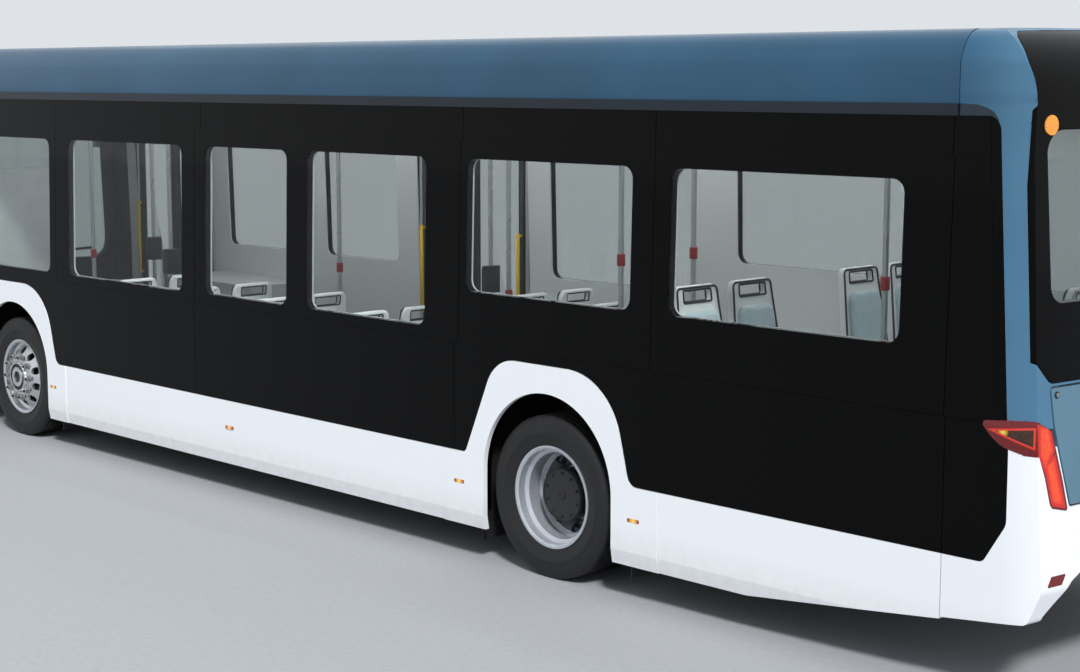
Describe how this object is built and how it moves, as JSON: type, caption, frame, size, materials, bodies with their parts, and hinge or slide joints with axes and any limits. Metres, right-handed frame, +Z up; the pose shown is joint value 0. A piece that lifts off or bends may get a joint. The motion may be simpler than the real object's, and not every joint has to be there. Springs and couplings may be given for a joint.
{
  "type": "city bus",
  "caption": "Low-floor city bus with gloss black sides, white skirts, rounded roof edges, double inward-swinging doors, steered front wheels and twin rear wheels.",
  "frame": {"origin": "on the ground, midway along the bus and on its centre plane", "axes": "+X forward, +Y to the driver's side (left), +Z up"},
  "size_m": [12.2037, 2.55, 3.1099],
  "materials": {
    "blue_paint": "metallic teal blue paint",
    "dash_plastic": "dark grey moulded plastic",
    "display_black": "black display panels",
    "door_black": "black door frames with tinted glass",
    "door_metal": "satin steel",
    "driver_fabric": "dark woven seat fabric",
    "floor_cover": "grey speckled floor covering",
    "frame_black": "black frame paint",
    "gloss_black": "gloss black panels",
    "lamp_amber": "amber lamp lens",
    "lamp_clear": "clear lamp lens",
    "lamp_red": "red lamp lens",
    "motor_grey": "grey castings",
    "partition_grey": "light grey panel",
    "pole_steel": "satin stainless tube",
    "rim_silver": "silver painted steel",
    "roof_deck": "pale grey roof skin and lining",
    "roof_equipment": "light grey covers",
    "screen_glass": "laminated screen glass",
    "seat_plastic": "light grey moulded plastic",
    "side_glass": "tinted side glass",
    "slate_paint": "dark slate paint",
    "spring_rubber": "black moulded rubber",
    "trim_black": "black moulded trim",
    "tyre_rubber": "black tyre rubber",
    "white_paint": "gloss white paint"
  },
  "bodies": {
    "bus_body": {"air_springs": "spring_rubber", "amber_lamps": "lamp_amber", "cantrail_ledges": "slate_paint", "chassis_frame": "frame_black", "dashboard": "dash_plastic", "displays": "display_black", "door_headers": "gloss_black", "drive_motor": "motor_grey", "driver_partition": "partition_grey", "driver_seat": "driver_fabric", "front_axle_beam": "frame_black", "front_bumper": "white_paint", "front_dome": "blue_paint", "front_mask": "gloss_black", "grab_poles": "pole_steel", "headlamps": "lamp_clear", "left_wall": "gloss_black", "low_floor": "floor_cover", "mirrors": "trim_black", "mud_flaps": "spring_rubber", "passenger_seats": "seat_plastic", "rear_axle": "frame_black", "rear_bumper": "white_paint", "rear_deck": "floor_cover", "rear_panel": "gloss_black", "rear_shell": "blue_paint", "rear_window": "screen_glass", "right_wall": "gloss_black", "roof_coves": "blue_paint", "roof_deck": "roof_deck", "roof_units": "roof_equipment", "side_glass": "side_glass", "skirt_panels": "white_paint", "steering_wheel": "dash_plastic", "tail_lamps": "lamp_red", "wheel_boxes": "floor_cover", "wheel_surrounds": "white_paint", "windscreen": "screen_glass", "wipers": "trim_black"},
    "knuckle_left": {"knuckle_left": "frame_black"},
    "knuckle_right": {"knuckle_right": "frame_black"},
    "tie_rod": {"tie_rod": "frame_black"},
    "front_left_wheel": {"front_left_tyre": "tyre_rubber", "front_left_rim": "rim_silver"},
    "front_right_wheel": {"front_right_tyre": "tyre_rubber", "front_right_rim": "rim_silver"},
    "rear_left_wheels": {"rear_left_tyres": "tyre_rubber", "rear_left_rims": "rim_silver"},
    "rear_right_wheels": {"rear_right_tyres": "tyre_rubber", "rear_right_rims": "rim_silver"},
    "rear_hatch": {"rear_hatch": "blue_paint"},
    "front_door_rear_post": {"front_door_rear_post": "door_metal"},
    "front_door_rear_leaf": {"front_door_rear_leaf": "door_black"},
    "front_door_front_post": {"front_door_front_post": "door_metal"},
    "front_door_front_leaf": {"front_door_front_leaf": "door_black"},
    "middle_door_rear_post": {"middle_door_rear_post": "door_metal"},
    "middle_door_rear_leaf": {"middle_door_rear_leaf": "door_black"},
    "middle_door_front_post": {"middle_door_front_post": "door_metal"},
    "middle_door_front_leaf": {"middle_door_front_leaf": "door_black"}
  },
  "joints": [
    {"name": "steer_left", "type": "hinge", "parent": "bus_body", "child": "knuckle_left", "pos_m": [3.35, 0.9, 0.478], "axis": [0, 0, 1], "range_deg": [-40, 40]},
    {"name": "steer_right", "type": "hinge", "parent": "bus_body", "child": "knuckle_right", "pos_m": [3.35, -0.9, 0.478], "axis": [0, 0, 1], "range_deg": [-40, 40]},
    {"name": "tie_rod_turn", "type": "hinge", "parent": "knuckle_left", "child": "tie_rod", "pos_m": [3.16, 0.9, 0.23], "axis": [0, 0, 1], "range_deg": [-40, 40]},
    {"name": "front_left_spin", "type": "hinge", "parent": "knuckle_left", "child": "front_left_wheel", "pos_m": [3.35, 1.097, 0.478], "axis": [0, 1, 0], "continuous": true},
    {"name": "front_right_spin", "type": "hinge", "parent": "knuckle_right", "child": "front_right_wheel", "pos_m": [3.35, -1.097, 0.478], "axis": [0, 1, 0], "continuous": true},
    {"name": "rear_left_spin", "type": "hinge", "parent": "bus_body", "child": "rear_left_wheels", "pos_m": [-2.8, 1.097, 0.478], "axis": [0, 1, 0], "continuous": true},
    {"name": "rear_right_spin", "type": "hinge", "parent": "bus_body", "child": "rear_right_wheels", "pos_m": [-2.8, -1.097, 0.478], "axis": [0, 1, 0], "continuous": true},
    {"name": "rear_hatch_lift", "type": "hinge", "parent": "bus_body", "child": "rear_hatch", "pos_m": [-6.0333, 0, 1.4857], "axis": [0, 1, 0], "range_deg": [0, 85]},
    {"name": "front_door_rear_swing", "type": "hinge", "parent": "bus_body", "child": "front_door_rear_post", "pos_m": [4.18, -1.217, 1.3], "axis": [0, 0, 1], "range_deg": [0, 84]},
    {"name": "front_door_rear_turn", "type": "hinge", "parent": "front_door_rear_post", "child": "front_door_rear_leaf", "pos_m": [4.48, -1.217, 1.3], "axis": [0, 0, 1], "range_deg": [-168, 0]},
    {"name": "front_door_front_swing", "type": "hinge", "parent": "bus_body", "child": "front_door_front_post", "pos_m": [5.42, -1.217, 1.3], "axis": [0, 0, -1], "range_deg": [0, 84]},
    {"name": "front_door_front_turn", "type": "hinge", "parent": "front_door_front_post", "child": "front_door_front_leaf", "pos_m": [5.12, -1.217, 1.3], "axis": [0, 0, -1], "range_deg": [-168, 0]},
    {"name": "middle_door_rear_swing", "type": "hinge", "parent": "bus_body", "child": "middle_door_rear_post", "pos_m": [-0.03, -1.217, 1.3], "axis": [0, 0, 1], "range_deg": [0, 84]},
    {"name": "middle_door_rear_turn", "type": "hinge", "parent": "middle_door_rear_post", "child": "middle_door_rear_leaf", "pos_m": [0.27, -1.217, 1.3], "axis": [0, 0, 1], "range_deg": [-168, 0]},
    {"name": "middle_door_front_swing", "type": "hinge", "parent": "bus_body", "child": "middle_door_front_post", "pos_m": [1.21, -1.217, 1.3], "axis": [0, 0, -1], "range_deg": [0, 84]},
    {"name": "middle_door_front_turn", "type": "hinge", "parent": "middle_door_front_post", "child": "middle_door_front_leaf", "pos_m": [0.91, -1.217, 1.3], "axis": [0, 0, -1], "range_deg": [-168, 0]}
  ],
  "couplings": [
    {"joint": "steer_right", "follows": "steer_left", "ratio": 1},
    {"joint": "tie_rod_turn", "follows": "steer_left", "ratio": -1},
    {"joint": "front_door_rear_turn", "follows": "front_door_rear_swing", "ratio": -2},
    {"joint": "front_door_front_turn", "follows": "front_door_front_swing", "ratio": -2},
    {"joint": "middle_door_rear_turn", "follows": "middle_door_rear_swing", "ratio": -2},
    {"joint": "middle_door_front_turn", "follows": "middle_door_front_swing", "ratio": -2}
  ]
}
